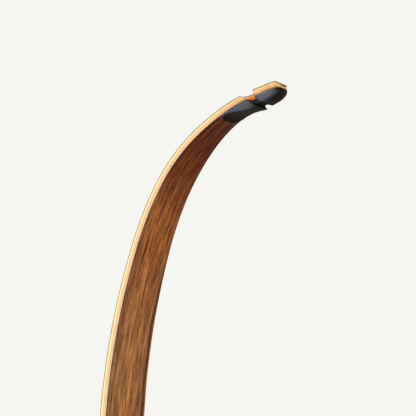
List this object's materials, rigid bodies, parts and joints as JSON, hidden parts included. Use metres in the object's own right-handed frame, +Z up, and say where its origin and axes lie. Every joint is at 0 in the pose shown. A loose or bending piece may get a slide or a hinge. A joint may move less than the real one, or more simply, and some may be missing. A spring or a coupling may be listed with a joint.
{
  "type": "recurve bow",
  "caption": "Unstrung take-down recurve bow: laminated limbs with hooked tips and string nocks, bolted to a sculpted wooden riser with a grip and sight window.",
  "frame": {"origin": "throat of the grip, the pivot point of the archer's hand, on the riser's belly side", "axes": "+X to the target, +Y to the archer's left, +Z up along the bow"},
  "size_m": [0.1729, 0.0459, 1.3406],
  "materials": {
    "walnut": "oiled satin hardwood with open grain",
    "maple": "pale maple under clear satin lacquer",
    "golden_maple": "golden maple core, polished flush",
    "dark_hardwood": "near-black hardwood, satin",
    "brown_veneer": "streaky brown veneer under the facing",
    "clear_facing": "clear glass-fibre facing, high gloss",
    "black_overlay": "black, polished to a soft sheen",
    "brass": "machined",
    "steel": "turned, fine satin",
    "blued_steel": "black oxide",
    "shelf_leather": "suede side up"
  },
  "bodies": {
    "riser": {"riser_belly_block": "walnut", "riser_back_block": "walnut", "riser_pale_strip_belly": "maple", "riser_pale_strip_back": "maple", "riser_dark_strip": "dark_hardwood", "stabiliser_bushing": "brass", "plunger_bushing": "brass", "sight_bushings": "brass", "arrow_shelf_pad": "shelf_leather", "upper_limb_insert": "brass", "upper_locating_pins": "brass", "lower_limb_insert": "brass", "lower_locating_pins": "brass"},
    "upper_limb": {"upper_belly_glass": "clear_facing", "upper_belly_veneer": "brown_veneer", "upper_belly_core": "maple", "upper_butt_wedge": "walnut", "upper_back_core": "golden_maple", "upper_back_veneer": "brown_veneer", "upper_back_glass": "clear_facing", "upper_tip_overlay": "black_overlay", "upper_limb_washer": "blued_steel"},
    "upper_bolt": {"upper_limb_bolt": "steel"},
    "lower_limb": {"lower_belly_glass": "clear_facing", "lower_belly_veneer": "brown_veneer", "lower_belly_core": "maple", "lower_butt_wedge": "walnut", "lower_back_core": "golden_maple", "lower_back_veneer": "brown_veneer", "lower_back_glass": "clear_facing", "lower_tip_overlay": "black_overlay", "lower_limb_washer": "blued_steel"},
    "lower_bolt": {"lower_limb_bolt": "steel"}
  },
  "joints": [
    {"name": "upper_limb_release", "type": "slide", "parent": "riser", "child": "upper_limb", "axis": [0.9744, 0, 0.225], "range_m": [0, 0.02]},
    {"name": "upper_bolt_turn", "type": "hinge", "parent": "upper_limb", "child": "upper_bolt", "pos_m": [0.01767, 0, 0.2031], "axis": [0.9744, 0, 0.225], "range_deg": [0, 5102.5]},
    {"name": "lower_limb_release", "type": "slide", "parent": "riser", "child": "lower_limb", "axis": [0.9744, 0, -0.225], "range_m": [0, 0.02]},
    {"name": "lower_bolt_turn", "type": "hinge", "parent": "lower_limb", "child": "lower_bolt", "pos_m": [0.01767, 0, -0.1631], "axis": [0.9744, 0, -0.225], "range_deg": [0, 5102.5]}
  ],
  "couplings": [
    {"joint": "upper_bolt_turn", "follows": "upper_limb_release", "rad_per_m": 4452.7},
    {"joint": "lower_bolt_turn", "follows": "lower_limb_release", "rad_per_m": 4452.7}
  ]
}
